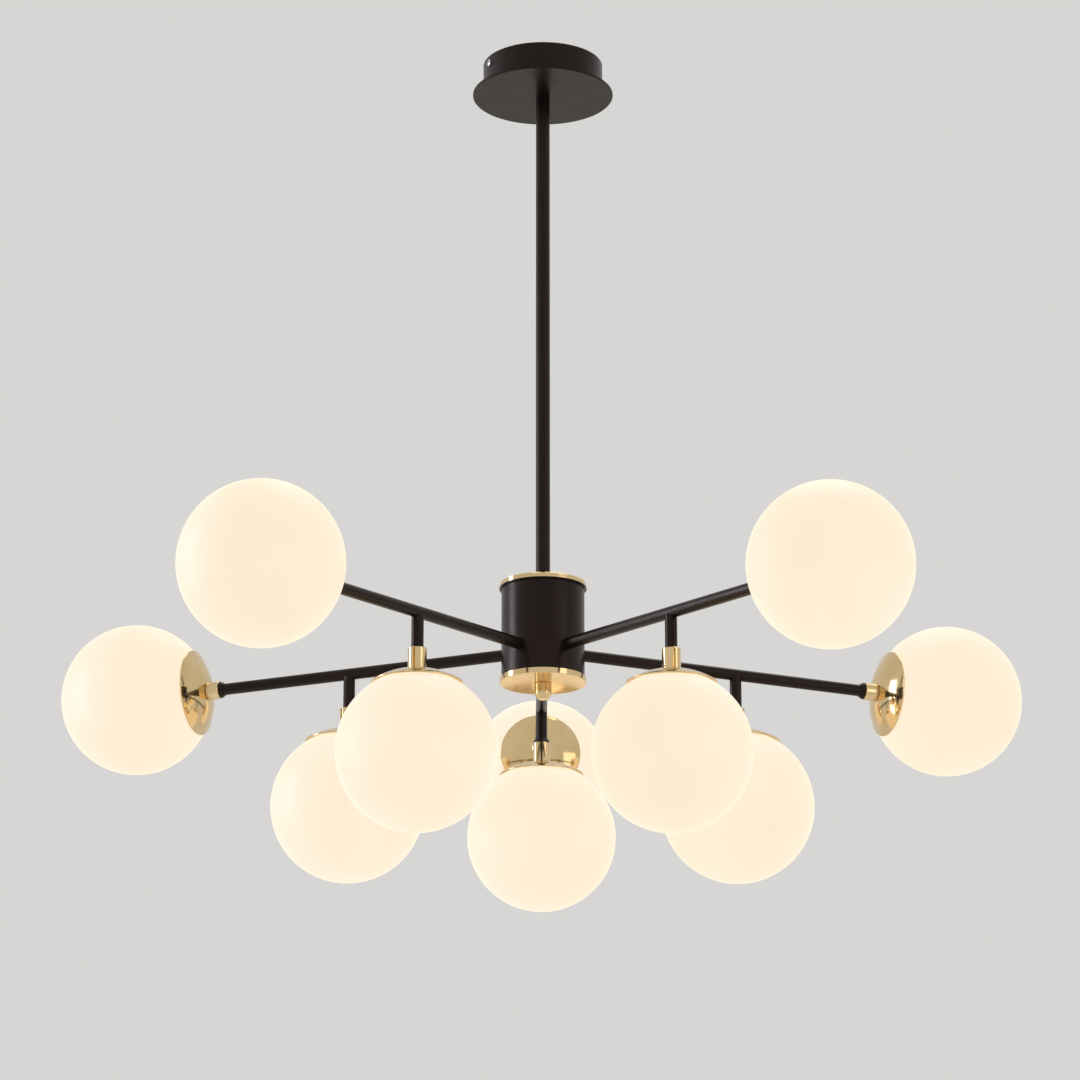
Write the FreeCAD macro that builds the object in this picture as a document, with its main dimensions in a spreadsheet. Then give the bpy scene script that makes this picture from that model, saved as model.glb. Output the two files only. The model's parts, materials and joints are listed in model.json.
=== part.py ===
import FreeCAD, Part
import math
import os

import Sketcher

# A branch chandelier: a ceiling cup and flange plate carry a rigid stem, the stem carries a round hub,
# and five arms leave the hub. Each arm has a glass globe at its end and a second one hanging below it.
# Millimetres and degrees. The origin is the middle of the ceiling face, +Z up, +Y along the back arm.

Vector = FreeCAD.Vector
Rotation = FreeCAD.Rotation
Placement = FreeCAD.Placement

ARM_NAMES = ("back", "left", "front_left", "front_right", "right")

SIZES = {
    # ceiling fitting
    "cup_radius": 60.5,
    "cup_wall": 1.2,
    "cup_height": 31,
    "plate_radius": 71,
    "plate_thickness": 2,
    "plate_chamfer": 0.6,
    "bracket_radius": 50,
    "bracket_thickness": 1.5,
    "bracket_hole_radius": 9,
    "bracket_slot_spacing": 70,
    "bracket_slot_length": 14,
    "bracket_slot_radius": 2.6,
    "ear_width": 16,
    "ear_depth": 17,
    "ear_gap": 1.0,
    "tongue_overlap": 4,
    "ear_azimuth": 27,
    "side_screw_drop": 8,
    "side_screw_radius": 1.9,
    "side_screw_length": 7,
    "side_screw_head_radius": 3.6,
    "side_screw_head_height": 2.2,
    "side_screw_edge_height": 1.3,
    "side_screw_crown_radius": 2.2,
    "terminal_length": 32,
    "terminal_width": 16,
    "terminal_height": 13,
    "terminal_offset": 16,
    "terminal_pitch": 10,
    "terminal_well_radius": 2.4,
    "terminal_well_depth": 8,
    # stem and the threaded tubes that hold it
    "stem_radius": 7,
    "stem_length": 516,
    "pipe_radius": 5,
    "pipe_bore": 3.6,
    "pipe_engagement": 18,
    "nipple_stand": 12,
    "pipe_nut_flats": 14,
    "pipe_nut_height": 4,
    "thread_gap": 0.1,
    "socket_gap": 1,
    # hub
    "hub_height": 100.5,
    "cover_fit": 0.4,
    "cover_wall": 1.2,
    "cover_chamfer": 0.5,
    "top_cover_height": 4.5,
    "bottom_cover_height": 5.5,
    "shell_radius": 40.4,
    "shell_wall": 1.6,
    "lip_reach": 2.2,
    "lip_height": 1.2,
    "arm_height": 33,
    "finial_radius": 8.3,
    "finial_height": 15.5,
    "finial_chamfer": 0.7,
    "finial_socket": 11,
    "finial_tip_radius": 5,
    "finial_tip_height": 4.5,
    # arms and drops
    "arm_radius": 5.75,
    "arm_wall": 1.5,
    "arm_droop": 2.1,
    "end_reach": 427,
    "drop_reach": 200,
    "drop_length": 35,
    "wire_hole_radius": 3,
    "nipple_radius": 4,
    "nipple_bore": 2.6,
    "nipple_engagement": 12,
    "nipple_nut_flats": 12,
    "nipple_tail": 3,
    "nipple_nut_height": 4.4,
    "nut_setback": 0.8,
    "saddle_gap": 0.05,
    "saddle_allowance": 2,
    "cut_overrun": 1,
    "ring_length": 4.5,
    "ring_lip": 1.5,
    "ring_radius": 8.2,
    "ring_small_radius": 6.4,
    # lamp heads
    "collar_radius": 8.75,
    "collar_chamfer": 0.6,
    "end_collar_length": 12.5,
    "drop_collar_length": 20.4,
    "dish_radius": 77.6,
    "dish_wall": 1.2,
    "dish_rim_radius": 42,
    "globe_radius": 75,
    "globe_wall": 2.8,
    "mouth_radius": 16,
    "mouth_wall": 2.6,
    "mouth_depth": 12,
    "mouth_gap": 0.3,
    "holder_top_gap": 0.4,
    "holder_top_radius": 7,
    "holder_skirt_drop": 2.6,
    "holder_skirt_length": 15.4,
    "holder_step": 1,
    "holder_nose_radius": 12,
    "holder_nose_length": 12,
    "holder_socket_depth": 10,
    "bulb_base_length": 14.4,
    "bulb_base_width": 6.8,
    "bulb_base_depth": 6.7,
    "bulb_gap": 0.3,
    "bulb_radius": 8.5,
    "bulb_length": 38,
}

doc = FreeCAD.newDocument("branch_chandelier")
sheet = doc.addObject("Spreadsheet::Sheet", "Sizes")
for row, (alias, number) in enumerate(SIZES.items(), start=1):
    sheet.set(f"A{row}", alias)
    sheet.set(f"B{row}", str(number))
    sheet.setAlias(f"B{row}", alias)
doc.recompute()


def size(text):
    """The value of a formula of sheet aliases, such as "globe_radius - globe_wall"."""
    return float(sheet.evalExpression(text))


def in_sheet(text):
    """The same formula as another object's expression reads it, with each alias prefixed by the sheet."""
    words, word = [], ""
    for letter in text + " ":
        if letter.isalnum() or letter == "_":
            word += letter
            continue
        words.append(f"Sizes.{word}" if word in SIZES else word)
        words.append(letter)
        word = ""
    return "".join(words).strip()


# Formulas that several pieces share
PLATE_TOP = "cup_height"
PLATE_UNDERSIDE = "(cup_height + plate_thickness)"
HUB_TOP = f"({PLATE_UNDERSIDE} + stem_length)"
HUB_BOTTOM = f"({HUB_TOP} + hub_height)"
ARM_LEVEL = f"({HUB_BOTTOM} - arm_height)"
PIPE_HOLE = "(pipe_radius + thread_gap)"
NIPPLE_HOLE = "(nipple_radius + thread_gap)"
COVER_RADIUS = "(shell_radius + cover_fit + cover_wall)"
SHELL_TOP = f"({HUB_TOP} + cover_wall)"
SHELL_BOTTOM = f"({HUB_BOTTOM} - cover_wall)"
ARM_END = "(end_reach - dish_radius - end_collar_length)"
DISH_INSIDE = "(dish_radius - dish_wall)"
HOLDER_TOP = f"({DISH_INSIDE} - holder_top_gap)"
HOLDER_SKIRT_TOP = f"({HOLDER_TOP} - holder_skirt_drop)"
HOLDER_NOSE_TOP = f"({HOLDER_SKIRT_TOP} - holder_skirt_length)"
HOLDER_END = f"({HOLDER_NOSE_TOP} - holder_nose_length)"


# ---------------------------------------------------------------- drawing helpers
def origin_plane(body, role):
    return next(feature for feature in body.Origin.OriginFeatures if feature.Role == role)


def new_body(label):
    body = doc.addObject("PartDesign::Body", label)
    body.Label = label
    return body


def bind(thing, **formulas):
    """Sets each property by a formula, with double underscores for the dots of a longer path."""
    for path, text in formulas.items():
        thing.setExpression(path.replace("__", "."), in_sheet(text))


def profile(body, corners, arcs):
    """A closed outline in the body's own X-Z plane, every corner held by two formulas.

    arcs maps a corner's number to True or False: from that corner the outline runs on to the next
    along an arc with its middle on the Z axis, counterclockwise if True.
    """
    sketch = body.newObject("Sketcher::SketchObject", f"{body.Name}_outline")
    sketch.AttachmentSupport = [(origin_plane(body, "XZ_Plane"), "")]
    sketch.MapMode = "FlatFace"
    points = [Vector(size(x), size(z), 0) for x, z in corners]
    count = len(points)
    for number, point in enumerate(points):
        following = points[(number + 1) % count]
        if number not in arcs:
            sketch.addGeometry(Part.LineSegment(point, following))
            continue
        ends = (point, following) if arcs[number] else (following, point)
        half = (following + point) * 0.5
        chord = following - point
        middle = Vector(0, half.y + half.x * chord.x / chord.y, 0)
        angles = [math.atan2(end.y - middle.y, end.x) for end in ends]
        circle = Part.Circle(middle, Vector(0, 0, 1), (point - middle).Length)
        sketch.addGeometry(Part.ArcOfCircle(circle, *angles))
    for number, (across, up) in enumerate(corners):
        first, last = (1, 2) if arcs.get(number, True) else (2, 1)
        before = (number - 1) % count
        before_last = 2 if arcs.get(before, True) else 1
        sketch.addConstraint(Sketcher.Constraint("Coincident", before, before_last, number, first))
        point = points[number]
        for kind, text, value in (("DistanceX", across, point.x), ("DistanceY", up, point.y)):
            held = sketch.addConstraint(Sketcher.Constraint(kind, number, first, value))
            sketch.setExpression(f"Constraints[{held}]", in_sheet(text))
        if number in arcs:
            sketch.addConstraint(Sketcher.Constraint("PointOnObject", number, 3, -2))
    return sketch


def turned(label, corners, arcs=None):
    """A body of revolution about its own Z axis. corners are (radius, height) formulas."""
    body = new_body(label)
    sketch = profile(body, corners, arcs or {})
    doc.recompute()
    turn = body.newObject("PartDesign::Revolution", f"{label}_turn")
    turn.Profile = sketch
    turn.ReferenceAxis = (sketch, ["V_Axis"])
    turn.Angle = 360
    sketch.Visibility = False
    doc.recompute()
    return body


def tube(label, radius, bore, low, high):
    return turned(label, [(bore, low), (radius, low), (radius, high), (bore, high)])


def hex_nut(label, flats, bore, low, height):
    """A hexagon nut that stands on the height low, with its bore cut through."""
    body = new_body(label)
    blank = body.newObject("PartDesign::AdditivePrism", f"{label}_blank")
    bind(blank, Circumradius=f"{flats} / sqrt(3)", Height=height, Placement__Base__z=low)
    doc.recompute()
    bore_cut(body, f"{label}_bore", bore, height, Placement__Base__z=low)
    return body


def bore_cut(body, name, radius, length, turn=None, **place):
    """A round cut in a body. It runs up from its place, or along turn's own Z where one is given."""
    cut = body.newObject("PartDesign::SubtractiveCylinder", name)
    if turn is not None:
        cut.Placement = Placement(Vector(), turn)
    bind(cut, Radius=radius, Height=length, **place)
    doc.recompute()
    return cut


def group(label, members):
    """Several like pieces that share a node."""
    joined = doc.addObject("Part::Compound", label)
    joined.Label = label
    joined.Links = members
    doc.recompute()
    return joined


def azimuth(number):
    """The direction of an arm: the first one points along +Y, the others follow counterclockwise."""
    return 90 + number * 360 / len(ARM_NAMES)


def spin(degrees):
    return Rotation(Vector(0, 0, 1), degrees)


def along_arm(number):
    """Turns a piece's own +Z to point out along an arm."""
    return spin(azimuth(number)) * Rotation(Vector(0, 1, 0), 90 + size("arm_droop"))


def arm_frame(number):
    """An arm's own frame: the origin on the hub's axis, +Z out along the arm."""
    return Placement(Vector(0, 0, -size(ARM_LEVEL)), along_arm(number))


def end_head_frame(number):
    """The middle of an end globe, +Z back along the arm."""
    flip = Placement(Vector(0, 0, size("end_reach")), Rotation(Vector(0, 1, 0), 180))
    return arm_frame(number) * flip


def drop_frame(number):
    """The point on the arm's middle line from which a drop hangs, +Z up."""
    on_arm = arm_frame(number).multVec(Vector(0, 0, size("drop_reach")))
    return Placement(on_arm, spin(azimuth(number)))


def drop_head_frame(number):
    """The middle of a hanging globe, +Z up."""
    below = size("drop_length + drop_collar_length + dish_radius")
    return drop_frame(number) * Placement(Vector(0, 0, -below), Rotation())


def on_each_arm(make, frame):
    """One piece for each arm, made by make(label ending) and put in that arm's frame."""
    pieces = []
    for number, name in enumerate(ARM_NAMES):
        piece = make(name)
        piece.Placement = frame(number)
        pieces.append(piece)
    return pieces


# ---------------------------------------------------------------- ceiling fitting
def ceiling_bracket():
    """A pressed disc with two slots for the ceiling screws and two ears that the cup is screwed to."""
    body = turned(
        "ceiling_bracket",
        [
            ("bracket_hole_radius", "-bracket_thickness"),
            ("bracket_radius", "-bracket_thickness"),
            ("bracket_radius", "0"),
            ("bracket_hole_radius", "0"),
        ],
    )
    outside = "(cup_radius - cup_wall - ear_gap)"
    for side in (0, 1):
        turn = size("ear_azimuth") + 180 * side
        direction = spin(turn)
        tongue_start = "(bracket_radius - tongue_overlap)"
        pieces = (
            (f"tongue_{side}", tongue_start, f"{outside} - {tongue_start}", "bracket_thickness"),
            (f"ear_{side}", f"{outside} - bracket_thickness", "bracket_thickness", "ear_depth"),
        )
        for name, start, length, depth in pieces:
            box = body.newObject("PartDesign::AdditiveBox", name)
            corner = Vector(size(start), -size("ear_width") / 2, -size(depth))
            box.Placement = Placement(direction.multVec(corner), direction)
            bind(box, Length=length, Width="ear_width", Height=depth)
            doc.recompute()
        hole = body.newObject("PartDesign::SubtractiveCylinder", f"ear_hole_{side}")
        start = Vector(size("bracket_radius"), 0, -size("side_screw_drop"))
        hole.Placement = Placement(direction.multVec(start), direction * Rotation(Vector(0, 1, 0), 90))
        bind(hole, Radius="side_screw_radius + thread_gap", Height="cup_radius - bracket_radius")
        doc.recompute()
    for side in (-1, 1):
        half = "(bracket_slot_length / 2 - bracket_slot_radius)"
        middle = f"{side} * bracket_slot_spacing / 2"
        slot = body.newObject("PartDesign::SubtractiveBox", f"slot_{'left' if side < 0 else 'right'}")
        bind(
            slot,
            Length=f"2 * {half}",
            Width="2 * bracket_slot_radius",
            Height="bracket_thickness",
            Placement__Base__x=f"{middle} - {half}",
            Placement__Base__y="-bracket_slot_radius",
            Placement__Base__z="-bracket_thickness",
        )
        doc.recompute()
        for end in (-1, 1):
            bore_cut(
                body,
                f"{slot.Name}_end_{'a' if end < 0 else 'b'}",
                "bracket_slot_radius",
                "bracket_thickness",
                Placement__Base__x=f"{middle} + {end} * {half}",
                Placement__Base__z="-bracket_thickness",
            )
    return body


def canopy_cup():
    """A drawn cup, open to the ceiling, with two side holes for its screws."""
    inside = "(cup_radius - cup_wall)"
    floor = f"-({PLATE_TOP} - cup_wall)"
    body = turned(
        "canopy_cup",
        [
            (PIPE_HOLE, f"-{PLATE_TOP}"),
            ("cup_radius", f"-{PLATE_TOP}"),
            ("cup_radius", "0"),
            (inside, "0"),
            (inside, floor),
            (PIPE_HOLE, floor),
        ],
    )
    for side in (0, 1):
        direction = spin(size("ear_azimuth") + 180 * side)
        hole = body.newObject("PartDesign::SubtractiveCylinder", f"side_hole_{side}")
        start = Vector(size("bracket_radius"), 0, -size("side_screw_drop"))
        hole.Placement = Placement(direction.multVec(start), direction * Rotation(Vector(0, 1, 0), 90))
        depth = "cup_radius - bracket_radius + cup_wall"
        bind(hole, Radius="side_screw_radius + 2 * thread_gap", Height=depth)
        doc.recompute()
    return body


def canopy_plate():
    """The flange plate under the cup, its lower edge broken by a small chamfer."""
    return turned(
        "canopy_plate",
        [
            (PIPE_HOLE, f"-{PLATE_UNDERSIDE}"),
            ("plate_radius - plate_chamfer", f"-{PLATE_UNDERSIDE}"),
            ("plate_radius", f"-({PLATE_UNDERSIDE} - plate_chamfer)"),
            ("plate_radius", f"-{PLATE_TOP}"),
            (PIPE_HOLE, f"-{PLATE_TOP}"),
        ],
    )


def side_screw(name):
    """A pan-head screw: its head bears on the cup, its shank runs inwards through the ear."""
    return turned(
        f"side_screw_{name}",
        [
            ("0", "-side_screw_length"),
            ("side_screw_radius", "-side_screw_length"),
            ("side_screw_radius", "0"),
            ("side_screw_head_radius", "0"),
            ("side_screw_head_radius", "side_screw_edge_height"),
            ("side_screw_crown_radius", "side_screw_head_height"),
            ("0", "side_screw_head_height"),
        ],
    )


def canopy_side_screws():
    screws = []
    for side, name in enumerate(("right", "left")):
        screw = side_screw(name)
        direction = spin(size("ear_azimuth") + 180 * side)
        seat = Vector(size("cup_radius"), 0, -size("side_screw_drop"))
        screw.Placement = Placement(direction.multVec(seat), direction * Rotation(Vector(0, 1, 0), 90))
        screws.append(screw)
    return group("canopy_side_screws", screws)


def terminal_block():
    """The mains terminal block under the bracket, with three screw wells on its underside."""
    body = new_body("terminal_block")
    block = body.newObject("PartDesign::AdditiveBox", "terminal_housing")
    bind(
        block,
        Length="terminal_length",
        Width="terminal_width",
        Height="terminal_height",
        Placement__Base__x="-terminal_length / 2",
        Placement__Base__y="terminal_offset",
        Placement__Base__z="-(bracket_thickness + terminal_height)",
    )
    doc.recompute()
    for pole in (-1, 0, 1):
        bore_cut(
            body,
            f"terminal_well_{pole + 1}",
            "terminal_well_radius",
            "terminal_well_depth",
            Placement__Base__x=f"{pole} * terminal_pitch",
            Placement__Base__y="terminal_offset + terminal_width / 2",
            Placement__Base__z="-(bracket_thickness + terminal_height)",
        )
    return body


def canopy_nipple():
    """The short threaded tube that joins the stem's top to the cup."""
    low = f"-({PLATE_UNDERSIDE} + pipe_engagement)"
    high = f"-({PLATE_TOP} - cup_wall - nipple_stand)"
    return tube("canopy_nipple", "pipe_radius", "pipe_bore", low, high)


def canopy_lock_nut():
    floor = f"-({PLATE_TOP} - cup_wall)"
    return hex_nut("canopy_lock_nut", "pipe_nut_flats", PIPE_HOLE, floor, "pipe_nut_height")


def stem_tube():
    return tube("stem_tube", "stem_radius", PIPE_HOLE, f"-{HUB_TOP}", f"-{PLATE_UNDERSIDE}")


# ---------------------------------------------------------------- hub
def hub_cover(label, face, height, inwards):
    """A drawn lid over one end of the shell. face is its outer face and inwards points into the hub."""
    inside = f"({face} + {inwards} * cover_wall)"
    rim = f"({face} + {inwards} * {height})"
    skirt = "(shell_radius + cover_fit)"
    return turned(
        label,
        [
            (PIPE_HOLE, face),
            (f"{COVER_RADIUS} - cover_chamfer", face),
            (COVER_RADIUS, f"{face} + {inwards} * cover_chamfer"),
            (COVER_RADIUS, rim),
            (skirt, rim),
            (skirt, inside),
            (PIPE_HOLE, inside),
        ],
    )


def hub_shell():
    """The hub's round casing, with a lip that the top cover sits on, drilled for the five arms."""
    inside = "shell_radius - shell_wall"
    lip_top = f"-({HUB_TOP} + top_cover_height)"
    body = turned(
        "hub_shell",
        [
            (inside, f"-{SHELL_BOTTOM}"),
            ("shell_radius", f"-{SHELL_BOTTOM}"),
            ("shell_radius", f"{lip_top} - lip_height"),
            ("shell_radius + lip_reach", f"{lip_top} - lip_height"),
            ("shell_radius + lip_reach", lip_top),
            ("shell_radius", lip_top),
            ("shell_radius", f"-{SHELL_TOP}"),
            (inside, f"-{SHELL_TOP}"),
        ],
    )
    drilled = bore_cut(
        body,
        "arm_hole",
        NIPPLE_HOLE,
        "shell_radius + shell_wall",
        turn=along_arm(0),
        Placement__Base__z=f"-{ARM_LEVEL}",
    )
    pattern = body.newObject("PartDesign::PolarPattern", "arm_holes")
    pattern.Originals = [drilled]
    pattern.Axis = (origin_plane(body, "Z_Axis"), [""])
    pattern.Angle = 360
    pattern.Occurrences = len(ARM_NAMES)
    body.Tip = pattern
    doc.recompute()
    return body


def hub_lamp_pipe():
    """The threaded tube that ties the stem, both covers and the finial together."""
    low = f"-({HUB_BOTTOM} + finial_socket - socket_gap)"
    high = f"-({HUB_TOP} - pipe_engagement)"
    return tube("hub_lamp_pipe", "pipe_radius", "pipe_bore", low, high)


def hub_lock_nuts():
    upper = hex_nut(
        "hub_nut_upper", "pipe_nut_flats", PIPE_HOLE, f"-({SHELL_TOP} + pipe_nut_height)", "pipe_nut_height"
    )
    lower = hex_nut("hub_nut_lower", "pipe_nut_flats", PIPE_HOLE, f"-{SHELL_BOTTOM}", "pipe_nut_height")
    return group("hub_lock_nuts", [upper, lower])


def finial():
    """The knob under the hub: a blind threaded socket in a turned body with a tapered tip."""
    top = f"-{HUB_BOTTOM}"
    bottom = f"-({HUB_BOTTOM} + finial_height)"
    return turned(
        "finial",
        [
            (PIPE_HOLE, top),
            ("finial_radius - finial_chamfer", top),
            ("finial_radius", f"{top} - finial_chamfer"),
            ("finial_radius", f"{bottom} + finial_tip_height"),
            ("finial_tip_radius", bottom),
            ("0", bottom),
            ("0", f"{top} - finial_socket"),
            (PIPE_HOLE, f"{top} - finial_socket"),
        ],
    )


# ---------------------------------------------------------------- arms and drops
def arm(name):
    """An arm tube in its own frame: saddled on the hub, with a wire hole over its drop."""
    start = "shell_radius - saddle_allowance"
    body = tube(f"arm_{name}", "arm_radius", "arm_radius - arm_wall", start, ARM_END)
    saddle = body.newObject("PartDesign::SubtractiveCylinder", f"arm_saddle_{name}")
    upright = Rotation(Vector(0, 1, 0), 90 + size("arm_droop")).inverted()
    centred = Placement(Vector(), upright) * Placement(Vector(0, 0, -size("hub_height") / 2), Rotation())
    saddle.Placement = centred
    bind(saddle, Radius="shell_radius + saddle_gap", Height="hub_height")
    doc.recompute()
    # +X of the arm's frame points down
    bore_cut(
        body,
        f"wire_hole_{name}",
        "wire_hole_radius",
        "arm_radius + cut_overrun",
        turn=Rotation(Vector(0, 1, 0), 90),
        Placement__Base__z="drop_reach",
    )
    return body


def drop(name):
    """A drop tube, its top end saddled to the underside of the arm."""
    body = tube(f"drop_{name}", "arm_radius", "arm_radius - arm_wall", "-drop_length", "0")
    saddle = body.newObject("PartDesign::SubtractiveCylinder", f"drop_saddle_{name}")
    lying = Placement(Vector(), Rotation(Vector(0, 1, 0), 90 + size("arm_droop")))
    saddle.Placement = lying * Placement(Vector(0, 0, -size("drop_length") / 2), Rotation())
    bind(saddle, Radius="arm_radius + saddle_gap", Height="drop_length")
    doc.recompute()
    return body


def arm_nipple(name):
    low = "(shell_radius - shell_wall - nipple_nut_height - nipple_tail)"
    high = "shell_radius + nipple_engagement"
    return tube(f"arm_nipple_{name}", "nipple_radius", "nipple_bore", low, high)


def arm_lock_nut(name):
    # the nut's corners meet the round inside of the shell before its middle does
    low = "(shell_radius - shell_wall - nipple_nut_height - nut_setback)"
    return hex_nut(f"arm_nut_{name}", "nipple_nut_flats", NIPPLE_HOLE, low, "nipple_nut_height")


def arm_end_ring(name):
    """A flared ferrule round the arm's end, against the collar."""
    bore = "arm_radius + saddle_gap"
    return turned(
        f"arm_end_ring_{name}",
        [
            (bore, f"{ARM_END} - ring_length"),
            ("ring_small_radius", f"{ARM_END} - ring_length"),
            ("ring_radius", f"{ARM_END} - ring_lip"),
            ("ring_radius", ARM_END),
            (bore, ARM_END),
        ],
    )


# ---------------------------------------------------------------- lamp heads
# A head's own frame has its origin in the middle of the globe and +Z towards the arm or drop.
def collar(length):
    def make(name):
        high = f"(dish_radius + {length})"
        edge = "collar_radius - collar_chamfer"
        return turned(
            f"{length.replace('_length', '')}_{name}",
            [
                (NIPPLE_HOLE, "dish_radius"),
                ("collar_radius", "dish_radius"),
                ("collar_radius", f"{high} - collar_chamfer"),
                (edge, high),
                (NIPPLE_HOLE, high),
            ],
        )

    return make


def head_nipple(length):
    def make(name):
        label = f"{length.replace('_collar_length', '')}_nipple_{name}"
        low = f"{HOLDER_TOP} - holder_socket_depth + socket_gap"
        high = f"dish_radius + {length} + nipple_engagement"
        return tube(label, "nipple_radius", "nipple_bore", low, high)

    return make


def dish(place):
    def make(name):
        """A spun cap of a sphere that follows the globe, with a thin rim and a hole for the nipple."""
        rim_height = "sqrt(dish_radius^2 - dish_rim_radius^2)"
        share = f"{DISH_INSIDE} / dish_radius"
        return turned(
            f"dish_{place}_{name}",
            [
                ("dish_rim_radius", rim_height),
                (NIPPLE_HOLE, f"sqrt(dish_radius^2 - {NIPPLE_HOLE}^2)"),
                (NIPPLE_HOLE, f"sqrt({DISH_INSIDE}^2 - {NIPPLE_HOLE}^2)"),
                (f"dish_rim_radius * {share}", f"{rim_height} * {share}"),
            ],
            {0: True, 2: False},
        )

    return make


def lampholder(place):
    def make(name):
        """A lampholder: a skirt that the globe screws on, and a nose with the bulb's socket in it."""
        skirt = "(mouth_radius - mouth_gap)"
        body = turned(
            f"lampholder_{place}_{name}",
            [
                ("0", HOLDER_END),
                ("holder_nose_radius", HOLDER_END),
                ("holder_nose_radius", f"{HOLDER_NOSE_TOP} - holder_step"),
                (skirt, HOLDER_NOSE_TOP),
                (skirt, HOLDER_SKIRT_TOP),
                ("holder_top_radius", HOLDER_TOP),
                (NIPPLE_HOLE, HOLDER_TOP),
                (NIPPLE_HOLE, f"{HOLDER_TOP} - holder_socket_depth"),
                ("0", f"{HOLDER_TOP} - holder_socket_depth"),
            ],
        )
        socket = body.newObject("PartDesign::SubtractiveBox", f"socket_{place}_{name}")
        length = "(bulb_base_length + 2 * bulb_gap)"
        width = "(bulb_base_width + 2 * bulb_gap)"
        bind(
            socket,
            Length=length,
            Width=width,
            Height="bulb_base_depth + bulb_gap",
            Placement__Base__x=f"-{length} / 2",
            Placement__Base__y=f"-{width} / 2",
            Placement__Base__z=HOLDER_END,
        )
        doc.recompute()
        return body

    return make


def bulb(place):
    def make(name):
        """A small capsule bulb: a flat base in the socket and a round-ended envelope."""
        shoulder = f"({HOLDER_END} - bulb_gap)"
        end = f"({shoulder} - bulb_length)"
        body = turned(
            f"bulb_{place}_{name}",
            [
                ("0", end),
                ("bulb_radius", f"{end} + bulb_radius"),
                ("bulb_radius", shoulder),
                ("0", shoulder),
            ],
            {0: True},
        )
        base = body.newObject("PartDesign::AdditiveBox", f"bulb_base_{place}_{name}")
        bind(
            base,
            Length="bulb_base_length",
            Width="bulb_base_width",
            Height="bulb_base_depth + bulb_gap",
            Placement__Base__x="-bulb_base_length / 2",
            Placement__Base__y="-bulb_base_width / 2",
            Placement__Base__z=shoulder,
        )
        doc.recompute()
        return body

    return make


def globe(place):
    def make(name):
        """A blown glass globe, its mouth turned in to a short threaded neck."""
        inside = "(globe_radius - globe_wall)"
        neck = "(mouth_radius + mouth_wall)"
        neck_end = "(globe_radius - mouth_depth)"
        return turned(
            f"globe_{place}_{name}",
            [
                ("0", "-globe_radius"),
                ("mouth_radius", "sqrt(globe_radius^2 - mouth_radius^2)"),
                ("mouth_radius", neck_end),
                (neck, neck_end),
                (neck, f"sqrt({inside}^2 - {neck}^2)"),
                ("0", f"-{inside}"),
            ],
            {0: True, 4: False},
        )

    return make


# ---------------------------------------------------------------- assembly
nodes = [
    ceiling_bracket(),
    canopy_cup(),
    canopy_plate(),
    canopy_side_screws(),
    terminal_block(),
    canopy_nipple(),
    canopy_lock_nut(),
    stem_tube(),
    hub_cover("hub_top_cover", f"-{HUB_TOP}", "top_cover_height", "-1"),
    hub_shell(),
    hub_cover("hub_bottom_cover", f"-{HUB_BOTTOM}", "bottom_cover_height", "1"),
    hub_lamp_pipe(),
    hub_lock_nuts(),
    finial(),
]
nodes += on_each_arm(arm, arm_frame)
nodes += on_each_arm(drop, drop_frame)
nodes.append(group("arm_nipples", on_each_arm(arm_nipple, arm_frame)))
nodes.append(group("arm_lock_nuts", on_each_arm(arm_lock_nut, arm_frame)))
nodes.append(group("arm_end_rings", on_each_arm(arm_end_ring, arm_frame)))
for place, frame in (("end", end_head_frame), ("drop", drop_head_frame)):
    length = f"{place}_collar_length"
    nodes.append(group(f"{place}_collars", on_each_arm(collar(length), frame)))
    nodes.append(group(f"{place}_nipples", on_each_arm(head_nipple(length), frame)))
    nodes.append(group(f"{place}_lampholders", on_each_arm(lampholder(place), frame)))
    nodes.append(group(f"{place}_bulbs", on_each_arm(bulb(place), frame)))
    nodes += on_each_arm(dish(place), frame)
    nodes += on_each_arm(globe(place), frame)
doc.recompute()

for thing in doc.Objects:
    if {"Invalid", "Error"} & set(thing.State):
        raise RuntimeError(f"{thing.Label} failed: {thing.State}")
for node in nodes:
    if node.Shape.isNull() or not node.Shape.isValid():
        raise RuntimeError(f"{node.Label} has no valid shape")

os.makedirs("parts", exist_ok=True)
for node in nodes:
    node.Shape.exportStep(os.path.join("parts", f"{node.Label}.step"))
print(f"{len(nodes)} nodes, {sum(len(node.Shape.Solids) for node in nodes)} solids")
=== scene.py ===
"""Looks of the branch chandelier: finishes, small fittings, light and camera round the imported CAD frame."""

import json
import math

import bpy
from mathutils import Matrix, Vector


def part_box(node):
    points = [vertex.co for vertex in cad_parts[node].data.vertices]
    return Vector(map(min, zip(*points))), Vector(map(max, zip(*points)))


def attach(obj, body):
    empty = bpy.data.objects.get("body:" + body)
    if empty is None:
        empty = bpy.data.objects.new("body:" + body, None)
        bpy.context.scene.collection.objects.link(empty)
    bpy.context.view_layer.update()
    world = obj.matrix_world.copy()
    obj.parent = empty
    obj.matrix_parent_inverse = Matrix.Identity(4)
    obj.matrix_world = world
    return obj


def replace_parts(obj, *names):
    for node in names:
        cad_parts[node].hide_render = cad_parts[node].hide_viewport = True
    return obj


MM = 0.001

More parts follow.
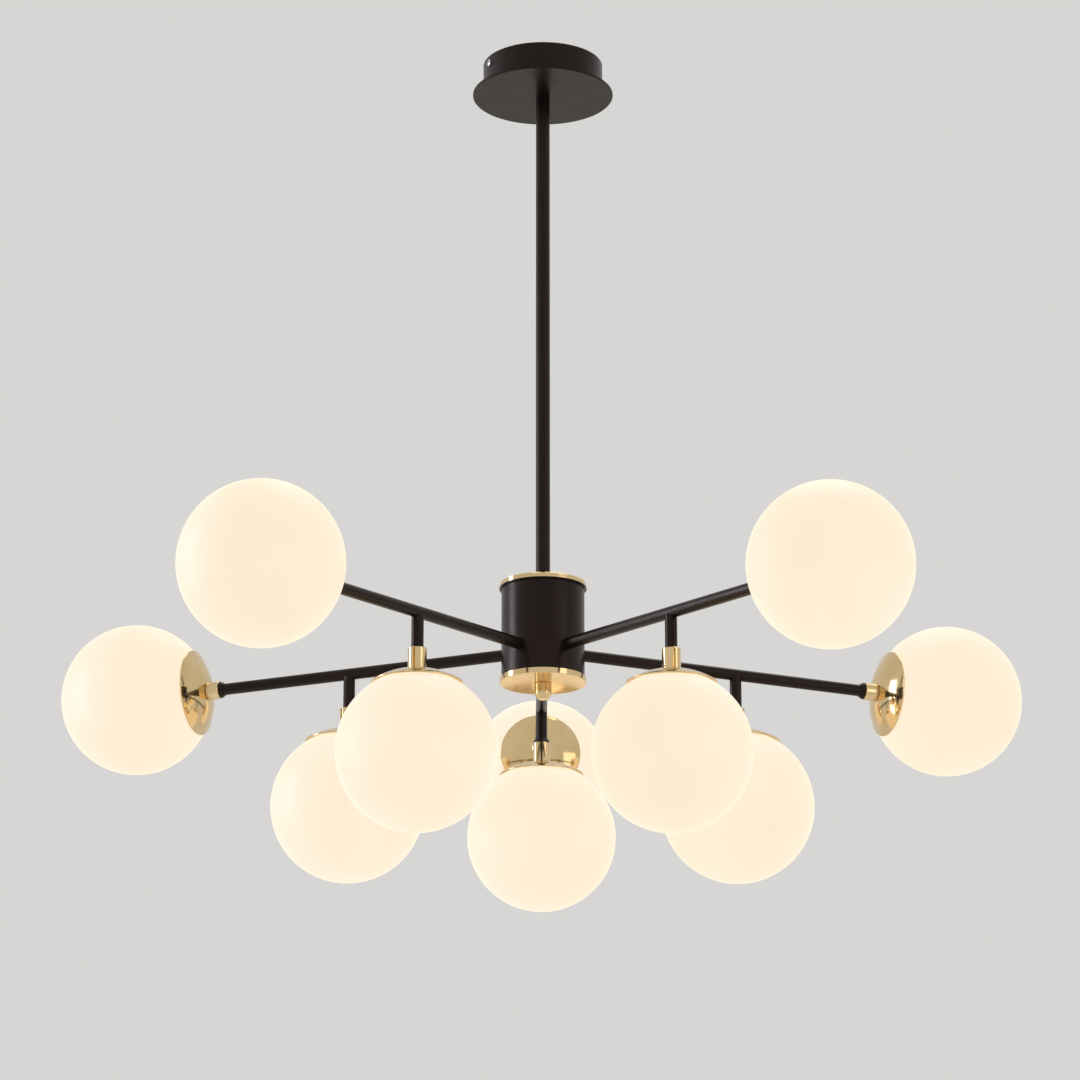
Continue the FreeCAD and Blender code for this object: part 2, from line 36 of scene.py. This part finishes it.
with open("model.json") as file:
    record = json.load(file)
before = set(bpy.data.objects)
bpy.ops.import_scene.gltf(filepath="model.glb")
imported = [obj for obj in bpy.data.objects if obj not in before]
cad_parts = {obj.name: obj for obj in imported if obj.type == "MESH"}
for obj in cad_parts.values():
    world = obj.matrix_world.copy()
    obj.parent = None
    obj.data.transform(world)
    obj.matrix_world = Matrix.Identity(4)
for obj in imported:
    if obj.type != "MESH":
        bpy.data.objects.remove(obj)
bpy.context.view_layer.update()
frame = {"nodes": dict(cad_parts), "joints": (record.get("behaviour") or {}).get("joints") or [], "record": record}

# ---------------------------------------------------------------- nodes and colours
# most noise lies between these two, so a pattern stretches that range to its own ends
NOISE_LOW, NOISE_HIGH = 0.3, 0.7


def linear(code):
    """An sRGB hex colour as linear red, green, blue and alpha."""
    shares = [int(code[start : start + 2], 16) / 255 for start in (1, 3, 5)]
    light = [s / 12.92 if s <= 0.04045 else ((s + 0.055) / 1.055) ** 2.4 for s in shares]
    return (*light, 1.0)


def socket_of(sockets, key):
    """A node's socket by number, by identifier, or by name where no identifier fits."""
    if isinstance(key, str):
        return next((one for one in sockets if one.identifier == key), None) or sockets[key]
    return sockets[key]


def add(tree, kind, values=None, links=None, **settings):
    """A node with its settings, its plain input values and its links from other sockets."""
    node = tree.nodes.new(kind)
    for name, value in settings.items():
        setattr(node, name, value)
    for key, value in (values or {}).items():
        socket_of(node.inputs, key).default_value = value
    for key, source in (links or {}).items():
        tree.links.new(source, socket_of(node.inputs, key))
    return node


def finish_shader(name, **values):
    """A new material, its tree and Principled shader, and the Object coordinates its patterns read."""
    material = bpy.data.materials.new(name)
    material.use_nodes = True
    tree = material.node_tree
    tree.nodes.clear()
    shader = add(tree, "ShaderNodeBsdfPrincipled", values)
    add(tree, "ShaderNodeOutputMaterial", links={"Surface": shader.outputs["BSDF"]})
    place = add(tree, "ShaderNodeTexCoord")
    return material, tree, shader, place.outputs["Object"]


def cloudy_colour(tree, at, lump_mm, first, second):
    """Two close colours that drift into each other in clouds about lump_mm across."""
    cloud = add(
        tree,
        "ShaderNodeTexNoise",
        {"Scale": 1 / (lump_mm * MM), "Detail": 2.0},
        {"Vector": at},
    )
    share = add(
        tree,
        "ShaderNodeMapRange",
        {"From Min": NOISE_LOW, "From Max": NOISE_HIGH},
        {"Value": cloud.outputs["Fac"]},
    )
    mix = add(
        tree,
        "ShaderNodeMix",
        {"A_Color": linear(first), "B_Color": linear(second)},
        {"Factor_Float": share.outputs["Result"]},
        data_type="RGBA",
    )
    return socket_of(mix.outputs, "Result_Color")


def uneven_gloss(tree, at, lump_mm, smoothest, roughest):
    """Roughness that wanders between two values, in patches about lump_mm across with finer ones inside."""
    patches = add(
        tree,
        "ShaderNodeTexNoise",
        {"Scale": 1 / (lump_mm * MM), "Detail": 4.0, "Roughness": 0.6},
        {"Vector": at},
    )
    return add(
        tree,
        "ShaderNodeMapRange",
        {"From Min": NOISE_LOW, "From Max": NOISE_HIGH, "To Min": smoothest, "To Max": roughest},
        {"Value": patches.outputs["Fac"]},
    ).outputs["Result"]


def fine_relief(tree, at, lump_mm, depth_mm, strength):
    """Bumps about lump_mm across and depth_mm deep."""
    grain = add(
        tree,
        "ShaderNodeTexNoise",
        {"Scale": 1 / (lump_mm * MM), "Detail": 2.0},
        {"Vector": at},
    )
    return add(
        tree,
        "ShaderNodeBump",
        {"Strength": strength, "Distance": depth_mm * MM},
        {"Height": grain.outputs["Fac"]},
    ).outputs["Normal"]


# ---------------------------------------------------------------- finishes
def black_powder_coat():
    """Satin powder coat on steel: near black with a warm cast, its highlights softened by fine orange peel."""
    material, tree, shader, at = finish_shader("black_powder_coat", Metallic=0.0, IOR=1.5)
    tree.links.new(cloudy_colour(tree, at, 60, "#150E0D", "#1E1513"), shader.inputs["Base Color"])
    tree.links.new(uneven_gloss(tree, at, 18, 0.27, 0.36), shader.inputs["Roughness"])
    # real orange peel is about 0.6 mm wide; drawn at 1.4 mm so that it shows
    tree.links.new(fine_relief(tree, at, 1.4, 0.02, 0.5), shader.inputs["Normal"])
    shader.inputs["Specular IOR Level"].default_value = 0.27
    # the binder of the powder has a brown cast, which the sheen takes on
    shader.inputs["Specular Tint"].default_value = linear("#FFE2DA")
    return material


def brass(name, lathe_marks):
    """Polished champagne brass; the pieces turned about the hub's axis also have the lathe's faint rings."""
    material, tree, shader, at = finish_shader(name, Metallic=1.0)
    tree.links.new(cloudy_colour(tree, at, 25, "#DFC28E", "#EACE9E"), shader.inputs["Base Color"])
    tree.links.new(uneven_gloss(tree, at, 8, 0.07, 0.14), shader.inputs["Roughness"])
    skin = fine_relief(tree, at, 6, 0.03, 0.25)
    if lathe_marks:
        # the wave texture has a ring every pi / 10 units at scale 1, so every 9.4 mm here: far
        # wider than single tool marks, because those would be too fine to show
        ring_scale = 1 / (30 * MM)
        rings = add(
            tree,
            "ShaderNodeTexWave",
            {"Scale": ring_scale, "Distortion": 0.6, "Detail": 1.0},
            {"Vector": at},
            wave_type="RINGS",
            rings_direction="Z",
        )
        skin = add(
            tree,
            "ShaderNodeBump",
            {"Strength": 0.35, "Distance": 0.006 * MM},
            {"Height": rings.outputs["Fac"], "Normal": skin},
        ).outputs["Normal"]
    tree.links.new(skin, shader.inputs["Normal"])
    return material


def opal_glass():
    """Satin opal glass lit from inside: an even warm glow, paler and cooler only where daylight falls."""
    material, tree, shader, at = finish_shader("opal_glass", IOR=1.5)
    # the white flashing inside the glass is a little thicker in places, so the glow drifts slowly
    tree.links.new(cloudy_colour(tree, at, 90, "#F6E3C5", "#F8E6CB"), shader.inputs["Emission Color"])
    shader.inputs["Emission Strength"].default_value = 1.0
    # daylight adds to the glow, so the glass itself is held dark and cool to keep the sum from clipping
    tree.links.new(cloudy_colour(tree, at, 90, "#5C6874", "#626E7A"), shader.inputs["Base Color"])
    tree.links.new(uneven_gloss(tree, at, 30, 0.42, 0.52), shader.inputs["Roughness"])
    # the slow waves that blowing leaves in the glass
    tree.links.new(fine_relief(tree, at, 45, 0.25, 0.12), shader.inputs["Normal"])
    shader.inputs["Specular IOR Level"].default_value = 0.3
    return material


def zinc_plated_steel():
    """Bright zinc on turned steel: grey with faint spangle."""
    material, tree, shader, at = finish_shader("zinc_plated_steel", Metallic=1.0)
    # each crystal of the plating, about 3 mm across, has a grey of its own
    spangle = add(tree, "ShaderNodeTexVoronoi", {"Scale": 1 / (3 * MM)}, {"Vector": at})
    grey = add(tree, "ShaderNodeRGBToBW", links={"Color": spangle.outputs["Color"]})
    mix = add(
        tree,
        "ShaderNodeMix",
        {"A_Color": linear("#B9BCC0"), "B_Color": linear("#D2D4D6")},
        {"Factor_Float": grey.outputs["Val"]},
        data_type="RGBA",
    )
    tree.links.new(socket_of(mix.outputs, "Result_Color"), shader.inputs["Base Color"])
    tree.links.new(uneven_gloss(tree, at, 4, 0.24, 0.4), shader.inputs["Roughness"])
    tree.links.new(fine_relief(tree, at, 1.2, 0.02, 0.4), shader.inputs["Normal"])
    return material


def glazed_porcelain():
    """White porcelain with a clear glaze that pools a little."""
    material, tree, shader, at = finish_shader("glazed_porcelain", IOR=1.52)
    tree.links.new(cloudy_colour(tree, at, 12, "#E9E5DB", "#F1EEE7"), shader.inputs["Base Color"])
    tree.links.new(uneven_gloss(tree, at, 6, 0.1, 0.2), shader.inputs["Roughness"])
    tree.links.new(fine_relief(tree, at, 5, 0.05, 0.3), shader.inputs["Normal"])
    return material


def frosted_bulb():
    """Acid-frosted lamp glass round a warm light."""
    material, tree, shader, at = finish_shader("frosted_bulb", IOR=1.5)
    tree.links.new(cloudy_colour(tree, at, 10, "#F4EEE0", "#FBF6EC"), shader.inputs["Base Color"])
    tree.links.new(cloudy_colour(tree, at, 10, "#FFE3B4", "#FFEBC8"), shader.inputs["Emission Color"])
    shader.inputs["Emission Strength"].default_value = 1.5
    tree.links.new(uneven_gloss(tree, at, 2, 0.45, 0.6), shader.inputs["Roughness"])
    tree.links.new(fine_relief(tree, at, 0.8, 0.02, 0.4), shader.inputs["Normal"])
    return material


def moulded_nylon():
    """White nylon of the terminal block, spark-eroded mould texture and a slight yellow cast."""
    material, tree, shader, at = finish_shader("moulded_nylon", IOR=1.53)
    tree.links.new(cloudy_colour(tree, at, 14, "#E2E0D8", "#ECEAE3"), shader.inputs["Base Color"])
    tree.links.new(uneven_gloss(tree, at, 3, 0.42, 0.55), shader.inputs["Roughness"])
    tree.links.new(fine_relief(tree, at, 0.7, 0.03, 0.5), shader.inputs["Normal"])
    return material


FINISHES = {
    "black_enamel": black_powder_coat(),
    "polished_brass": brass("spun_brass", lathe_marks=False),
    "turned_brass": brass("turned_brass", lathe_marks=True),
    "opal_glass": opal_glass(),
    "zinc_plated_steel": zinc_plated_steel(),
    "glazed_porcelain": glazed_porcelain(),
    "frosted_bulb": frosted_bulb(),
    "white_plastic": moulded_nylon(),
}
# lathe rings run round the object's own Z, so only pieces that stand on it get them
ON_THE_HUB_AXIS = ("hub_top_cover", "hub_bottom_cover", "finial")

for part in frame["record"]["subparts"]:
    node = frame["nodes"][part["node"]]
    finish = "turned_brass" if part["node"] in ON_THE_HUB_AXIS else part["material_slot"]
    node.data.materials.clear()
    node.data.materials.append(FINISHES[finish])

# ---------------------------------------------------------------- where the lamp heads are
# each globe's joint stands in its middle and points away from the dish, so the reverse points at it
HEADS = [
    (Vector(joint["pos_m"]), -Vector(joint["axis"]).normalized())
    for joint in frame["joints"]
    if joint["child"].startswith("globe_")
]


# ---------------------------------------------------------------- pieces that repeat
def new_tree(name, sizes):
    """An empty Geometry Nodes tree with a named input for each size, all in millimetres or counts."""
    tree = bpy.data.node_groups.new(name, "GeometryNodeTree")
    tree.interface.new_socket("Places", in_out="INPUT", socket_type="NodeSocketGeometry")
    for title, value in sizes.items():
        kind = "NodeSocketInt" if isinstance(value, int) else "NodeSocketFloat"
        tree.interface.new_socket(title, in_out="INPUT", socket_type=kind)
    tree.interface.new_socket("Pieces", in_out="OUTPUT", socket_type="NodeSocketGeometry")
    return tree


def place_copies(tree, inlet, piece, material, smooth=True):
    """Puts the piece, drawn in millimetres, on every point, its Z along the point's own axis."""
    axis = add(tree, "GeometryNodeInputNamedAttribute", {"Name": "axis"}, data_type="FLOAT_VECTOR")
    turn = add(
        tree,
        "FunctionNodeAlignRotationToVector",
        links={"Vector": axis.outputs["Attribute"]},
        axis="Z",
    )
    copies = add(
        tree,
        "GeometryNodeInstanceOnPoints",
        {"Scale": (MM, MM, MM)},
        {
            "Points": inlet.outputs["Places"],
            "Instance": piece,
            "Rotation": turn.outputs["Rotation"],
        },
    )
    real = add(tree, "GeometryNodeRealizeInstances", links={"Geometry": copies.outputs["Instances"]})
    shaded = add(
        tree,
        "GeometryNodeSetShadeSmooth",
        {"Shade Smooth": smooth},
        {"Geometry": real.outputs["Geometry"]},
    )
    painted = add(
        tree,
        "GeometryNodeSetMaterial",
        {"Material": material},
        {"Geometry": shaded.outputs["Geometry"]},
    )
    add(tree, "NodeGroupOutput", links={"Pieces": painted.outputs["Geometry"]})


def grow(name, tree, sizes, places):
    """A plain mesh of the tree's pieces at places, each a point with the direction of its Z."""
    mesh = bpy.data.meshes.new(name)
    mesh.from_pydata([tuple(point) for point, _ in places], [], [])
    axes = mesh.attributes.new("axis", "FLOAT_VECTOR", "POINT")
    for number, (_, axis) in enumerate(places):
        axes.data[number].vector = axis
    seed = bpy.data.objects.new(name, mesh)
    bpy.context.scene.collection.objects.link(seed)
    modifier = seed.modifiers.new("grow", "NODES")
    modifier.node_group = tree
    for item in tree.interface.items_tree:
        if item.in_out == "INPUT" and item.name in sizes:
            modifier[item.identifier] = sizes[item.name]
    evaluated = seed.evaluated_get(bpy.context.evaluated_depsgraph_get())
    grown = bpy.data.meshes.new_from_object(evaluated)
    seed.modifiers.clear()
    seed.data = grown
    # the seed's own empty material slot comes first and holds no face
    painted = grown.materials[-1]
    grown.materials.clear()
    grown.materials.append(painted)
    for face in grown.polygons:
        face.material_index = 0
    return seed


def rolled_rim():
    """The rolled bead round each dish's rim."""
    sizes = {"Rim Radius": 41.68, "Bead Radius": 0.8, "Around": 96, "Across": 12}
    tree = new_tree("rolled_rims", sizes)
    inlet = add(tree, "NodeGroupInput")
    ring = add(
        tree,
        "GeometryNodeCurvePrimitiveCircle",
        links={"Resolution": inlet.outputs["Around"], "Radius": inlet.outputs["Rim Radius"]},
    )
    section = add(
        tree,
        "GeometryNodeCurvePrimitiveCircle",
        links={"Resolution": inlet.outputs["Across"], "Radius": inlet.outputs["Bead Radius"]},
    )
    bead = add(
        tree,
        "GeometryNodeCurveToMesh",
        links={"Curve": ring.outputs["Curve"], "Profile Curve": section.outputs["Curve"]},
    )
    place_copies(tree, inlet, bead.outputs["Mesh"], FINISHES["polished_brass"])
    # the bead's middle runs on the sphere halfway through the dish's wall
    mid_wall_radius = 77.0
    height = math.sqrt(mid_wall_radius**2 - sizes["Rim Radius"] ** 2) * MM
    rims = grow("dish_rims", tree, sizes, [(middle + axis * height, axis) for middle, axis in HEADS])
    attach(rims, "fixture")


def cross_head_screws(name, sizes, places):
    """Pan-head screws with a cross recess: a domed head, two crossed slots cut into it, and a shank."""
    tree = new_tree(name, sizes)
    inlet = add(tree, "NodeGroupInput")
    blank = add(
        tree,
        "GeometryNodeMeshCylinder",
        {"Vertices": 48, "Side Segments": 2, "Fill Segments": 8},
        {"Radius": inlet.outputs["Head Radius"], "Depth": inlet.outputs["Edge Height"]},
    )
    # the dome rises as a parabola from the head's edge to its middle
    where = add(tree, "GeometryNodeInputPosition").outputs["Position"]
    flat = add(tree, "ShaderNodeVectorMath", {1: (1, 1, 0)}, {0: where}, operation="MULTIPLY")
    reach = add(tree, "ShaderNodeVectorMath", links={0: flat.outputs[0]}, operation="LENGTH")
    share = add(
        tree,
        "ShaderNodeMath",
        links={0: reach.outputs["Value"], 1: inlet.outputs["Head Radius"]},
        operation="DIVIDE",
    )
    square = add(tree, "ShaderNodeMath", {1: 2.0}, {0: share.outputs[0]}, operation="POWER")
    fall = add(tree, "ShaderNodeMath", {0: 1.0}, {1: square.outputs[0]}, operation="SUBTRACT")
    rise = add(
        tree,
        "ShaderNodeMath",
        links={0: fall.outputs[0], 1: inlet.outputs["Dome Height"]},
        operation="MULTIPLY",
    )
    upward = add(tree, "ShaderNodeCombineXYZ", links={"Z": rise.outputs[0]})
    head = add(
        tree,
        "GeometryNodeSetPosition",
        links={
            "Geometry": blank.outputs["Mesh"],
            "Selection": blank.outputs["Top"],
            "Offset": upward.outputs["Vector"],
        },
    )
    # the cutter's middle stands at the crown, so only its lower half cuts: it is twice the recess deep
    depth = add(
        tree,
        "ShaderNodeMath",
        {1: 2.0},
        {0: inlet.outputs["Recess Depth"]},
        operation="MULTIPLY",
    )
    long_side = add(
        tree,
        "ShaderNodeCombineXYZ",
        links={
            "X": inlet.outputs["Recess Length"],
            "Y": inlet.outputs["Recess Width"],
            "Z": depth.outputs[0],
        },
    )
    slot = add(tree, "GeometryNodeMeshCube", links={"Size": long_side.outputs["Vector"]})
    crosswise = add(
        tree,
        "GeometryNodeTransform",
        {"Rotation": (0, 0, math.radians(90))},
        {"Geometry": slot.outputs["Mesh"]},
    )
    crossing = add(tree, "GeometryNodeMeshBoolean", operation="UNION")
    for arm in (slot.outputs["Mesh"], crosswise.outputs["Geometry"]):
        tree.links.new(arm, crossing.inputs["Mesh 2"])
    half_edge = add(
        tree,
        "ShaderNodeMath",
        {1: 0.5},
        {0: inlet.outputs["Edge Height"]},
        operation="MULTIPLY",
    )
    crown = add(
        tree,
        "ShaderNodeMath",
        links={0: half_edge.outputs[0], 1: inlet.outputs["Dome Height"]},
        operation="ADD",
    )
    to_crown = add(tree, "ShaderNodeCombineXYZ", links={"Z": crown.outputs[0]})
    cutter = add(
        tree,
        "GeometryNodeTransform",
        links={"Geometry": crossing.outputs["Mesh"], "Translation": to_crown.outputs["Vector"]},
    )
    driven = add(
        tree,
        "GeometryNodeMeshBoolean",
        links={"Mesh 1": head.outputs["Geometry"], "Mesh 2": cutter.outputs["Geometry"]},
        operation="DIFFERENCE",
    )
    shank = add(
        tree,
        "GeometryNodeMeshCylinder",
        {"Vertices": 32},
        {"Radius": inlet.outputs["Shank Radius"], "Depth": inlet.outputs["Shank Length"]},
    )
    # a cylinder stands about its middle, so it goes down by half its length
    half_down = add(
        tree,
        "ShaderNodeMath",
        {1: -0.5},
        {0: inlet.outputs["Shank Length"]},
        operation="MULTIPLY",
    )
    to_shank = add(tree, "ShaderNodeCombineXYZ", links={"Z": half_down.outputs[0]})
    low_shank = add(
        tree,
        "GeometryNodeTransform",
        links={"Geometry": shank.outputs["Mesh"], "Translation": to_shank.outputs["Vector"]},
    )
    whole = add(tree, "GeometryNodeJoinGeometry")
    for piece in (driven.outputs["Mesh"], low_shank.outputs["Geometry"]):
        tree.links.new(piece, whole.inputs["Geometry"])
    place_copies(tree, inlet, whole.outputs["Geometry"], FINISHES["zinc_plated_steel"], smooth=False)
    screws = grow(name, tree, sizes, places)
    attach(screws, "fixture")
    return screws


def canopy_screws():
    """The two screws in the cup's side, in place of the plain ones of the CAD node."""
    head = {
        "Head Radius": 3.6,
        "Edge Height": 1.3,
        "Dome Height": 0.9,
        "Recess Length": 3.9,
        "Recess Width": 0.8,
        "Recess Depth": 1.3,
        "Shank Radius": 1.9,
        "Shank Length": 7.0,
    }
    crown = (head["Edge Height"] / 2 + head["Dome Height"]) * MM
    points = [vertex.co for vertex in frame["nodes"]["canopy_side_screws"].data.vertices]
    places = []
    for side in (1, -1):
        own = [point for point in points if point.x * side > 0]
        outward = Vector((sum(point.x for point in own), sum(point.y for point in own), 0)).normalized()
        height = (min(point.z for point in own) + max(point.z for point in own)) / 2
        top = max(point.dot(outward) for point in own)
        places.append((outward * (top - crown) + Vector((0, 0, height)), outward))
    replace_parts(cross_head_screws("canopy_screws", head, places), "canopy_side_screws")


def terminal_screws():
    """The clamp screws deep in the wells on the terminal block's underside."""
    low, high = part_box("terminal_block")
    head = {
        "Head Radius": 2.1,
        "Edge Height": 0.9,
        "Dome Height": 0.4,
        "Recess Length": 2.6,
        "Recess Width": 0.6,
        "Recess Depth": 0.8,
        "Shank Radius": 1.2,
        "Shank Length": 3.0,
    }
    pitch, well_depth = 10 * MM, 8 * MM
    seat = low[2] + well_depth - head["Edge Height"] / 2 * MM
    middle = (low[1] + high[1]) / 2
    down = Vector((0, 0, -1))
    wells = [Vector((pole * pitch, middle, seat)) for pole in (-1, 0, 1)]
    cross_head_screws("terminal_screws", head, [(well, down) for well in wells])


def back_drop_ring():
    """The black flared ring that the photograph shows above the collar of the back drop alone."""
    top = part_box("drop_collars")[1][2]
    # a drop's axis has a Z of 1, and an arm's end one near 0
    upright = 0.9
    middle = max((place for place, axis in HEADS if axis.z > upright), key=lambda place: place.y)
    # radii and heights above the collar, in millimetres: the wide lip sits on the collar and the
    # small end is up the tube
    bore, lip, shoulder, small_end = 5.2, 8.2, 7.6, 6.4
    lip_height, shoulder_height, ring_height = 1.5, 2.3, 4.5
    outline = [
        (bore, 0),
        (lip, 0),
        (lip, lip_height),
        (shoulder, shoulder_height),
        (small_end, ring_height),
        (bore, ring_height),
    ]
    around = 64
    points, faces = [], []
    for step in range(around):
        angle = 2 * math.pi * step / around
        for radius, height in outline:
            points.append(
                (
                    middle.x + radius * MM * math.cos(angle),
                    middle.y + radius * MM * math.sin(angle),
                    top + height * MM,
                )
            )
    for step in range(around):
        here, there = step * len(outline), (step + 1) % around * len(outline)
        for number in range(len(outline)):
            onward = (number + 1) % len(outline)
            faces.append((here + number, there + number, there + onward, here + onward))
    mesh = bpy.data.meshes.new("back_drop_ring")
    mesh.from_pydata(points, [], faces)
    mesh.materials.append(FINISHES["black_enamel"])
    mesh.shade_smooth()
    mesh.set_sharp_from_angle(angle=math.radians(30))
    ring = bpy.data.objects.new("back_drop_ring", mesh)
    bpy.context.scene.collection.objects.link(ring)
    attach(ring, "fixture")


rolled_rim()
canopy_screws()
terminal_screws()
back_drop_ring()

# ---------------------------------------------------------------- stage, light and camera
# metres: a room's height below the ceiling, and so far out that the edge is a faint line in level views
FLOOR_DEPTH, FLOOR_REACH = 2.7, 60
FLOOR_GLOW = 0.55
# how bright the room is where it lights the object, and where it is seen
ROOM_LIGHT, ROOM_SEEN = 0.45, 1.0
HUB_MIDDLE = (0, 0, -0.6)
# the photograph's view: place in metres, pitch above level and yaw in degrees, focal length in millimetres
CAMERA_PLACE = (-0.027, -3.4967, -1.5806)
CAMERA_PITCH, CAMERA_YAW = 17.112, -0.395
CAMERA_LENS = 124.6


def stage_floor():
    """A plain pale floor, about as pale to the eye and to metal as the room."""
    material, tree, shader, at = finish_shader("pale_floor", Roughness=0.8)
    colour = cloudy_colour(tree, at, 900, "#E1E0DD", "#E3E2DF")
    tree.links.new(colour, shader.inputs["Base Color"])
    tree.links.new(colour, shader.inputs["Emission Color"])
    glow = add(
        tree,
        "ShaderNodeMapRange",
        {"To Min": 0.0, "To Max": FLOOR_GLOW},
        {"Value": seen_directly(tree)},
    )
    tree.links.new(glow.outputs["Result"], shader.inputs["Emission Strength"])
    mesh = bpy.data.meshes.new("floor")
    signs = ((-1, -1), (1, -1), (1, 1), (-1, 1))
    corners = [(x * FLOOR_REACH, y * FLOOR_REACH, -FLOOR_DEPTH) for x, y in signs]
    mesh.from_pydata(corners, [], [(0, 1, 2, 3)])
    mesh.materials.append(material)
    floor = bpy.data.objects.new("floor", mesh)
    bpy.context.scene.collection.objects.link(floor)


def seen_directly(tree):
    """1 where the camera sees a surface straight, or in metal or glass, and 0 where it lights the object."""
    rays = add(tree, "ShaderNodeLightPath")
    by_eye_or_metal = add(
        tree,
        "ShaderNodeMath",
        links={0: rays.outputs["Is Camera Ray"], 1: rays.outputs["Is Glossy Ray"]},
        operation="MAXIMUM",
    )
    return add(
        tree,
        "ShaderNodeMath",
        links={0: by_eye_or_metal.outputs[0], 1: rays.outputs["Is Transmission Ray"]},
        operation="MAXIMUM",
    ).outputs[0]


def pale_room():
    """A pale grey surround that the camera, metal and glass see, and a softer one that lights the object."""
    world = bpy.data.worlds.new("pale_room")
    world.use_nodes = True
    bpy.context.scene.world = world
    tree = world.node_tree
    tree.nodes.clear()
    strength = add(
        tree,
        "ShaderNodeMapRange",
        {"To Min": ROOM_LIGHT, "To Max": ROOM_SEEN},
        {"Value": seen_directly(tree)},
    )
    sky = add(
        tree,
        "ShaderNodeBackground",
        {"Color": linear("#D7D6D4")},
        {"Strength": strength.outputs["Result"]},
    )
    add(tree, "ShaderNodeOutputWorld", links={"Surface": sky.outputs["Background"]})


def softbox(name, place, size, watts, colour):
    """A soft studio lamp of width and height size in metres, at place, turned to the hub."""
    lamp = bpy.data.lights.new(name, "AREA")
    lamp.shape = "RECTANGLE"
    lamp.size, lamp.size_y = size
    lamp.energy = watts
    lamp.color = linear(colour)[:3]
    holder = bpy.data.objects.new(name, lamp)
    holder.location = place
    holder.rotation_euler = (Vector(HUB_MIDDLE) - Vector(place)).to_track_quat("-Z", "Y").to_euler()
    bpy.context.scene.collection.objects.link(holder)


def camera():
    """The photograph's view: from below and in front, a long lens pitched up at the hub."""
    data = bpy.data.cameras.new("photo_view")
    data.lens = CAMERA_LENS
    holder = bpy.data.objects.new("photo_view", data)
    holder.location = CAMERA_PLACE
    # a camera without any turn looks straight down, and 90 degrees bring it level
    holder.rotation_euler = (math.radians(90 + CAMERA_PITCH), 0, math.radians(CAMERA_YAW))
    bpy.context.scene.collection.objects.link(holder)
    bpy.context.scene.camera = holder


stage_floor()
pale_room()
softbox("window_left", place=(-2.6, 0.25, -0.4), size=(0.6, 2.0), watts=28, colour="#EEF3FF")
softbox("fill_right", place=(2.4, -1.8, -0.5), size=(1.2, 1.6), watts=6, colour="#FFF6EC")
softbox("overhead", place=(0.4, 0.8, 1.8), size=(1.6, 1.6), watts=12, colour="#FFFFFF")
camera()
bpy.context.scene.view_settings.view_transform = "Standard"
